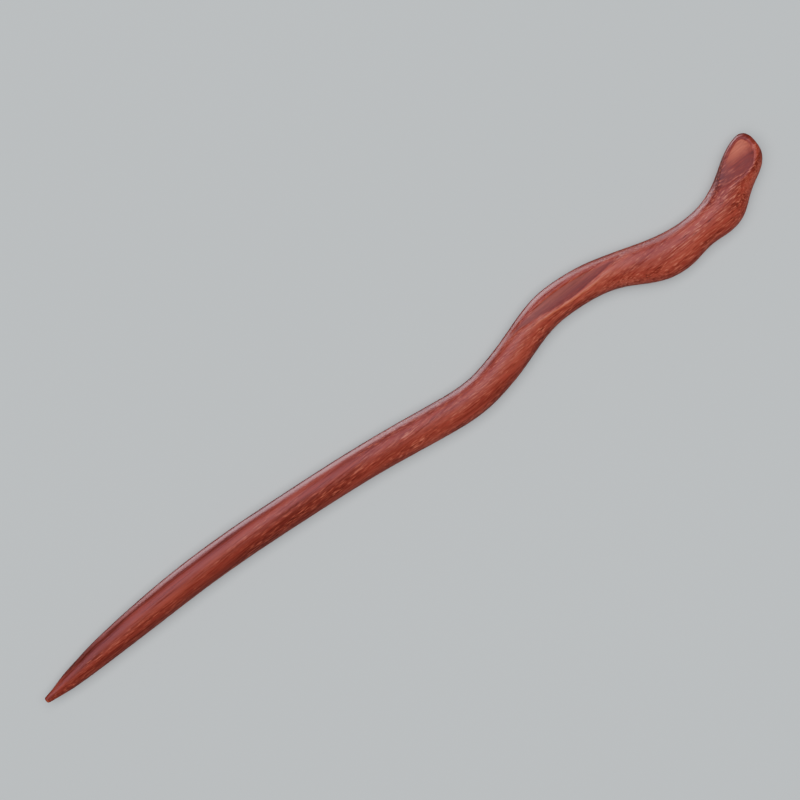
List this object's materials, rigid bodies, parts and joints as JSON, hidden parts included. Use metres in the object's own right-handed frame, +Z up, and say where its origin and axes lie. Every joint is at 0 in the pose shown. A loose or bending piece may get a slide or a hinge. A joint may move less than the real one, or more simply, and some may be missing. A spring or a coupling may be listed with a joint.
{
  "type": "hairpin",
  "caption": "Wavy one-piece wooden hair stick: a slim oval shaft tapers to a blunt tip, two soft bends lead to a scooped, rounded head.",
  "frame": {"origin": "middle of the stick's box, on the surface that its back lies on", "axes": "+X from the tip to the head, +Y across the waves, +Z up, out of the scooped front"},
  "size_m": [0.18, 0.016, 0.0066],
  "materials": {
    "rosewood": "sanded fine and waxed to a satin gloss"
  },
  "bodies": {
    "root": {"hair_stick": "rosewood"}
  },
  "joints": []
}
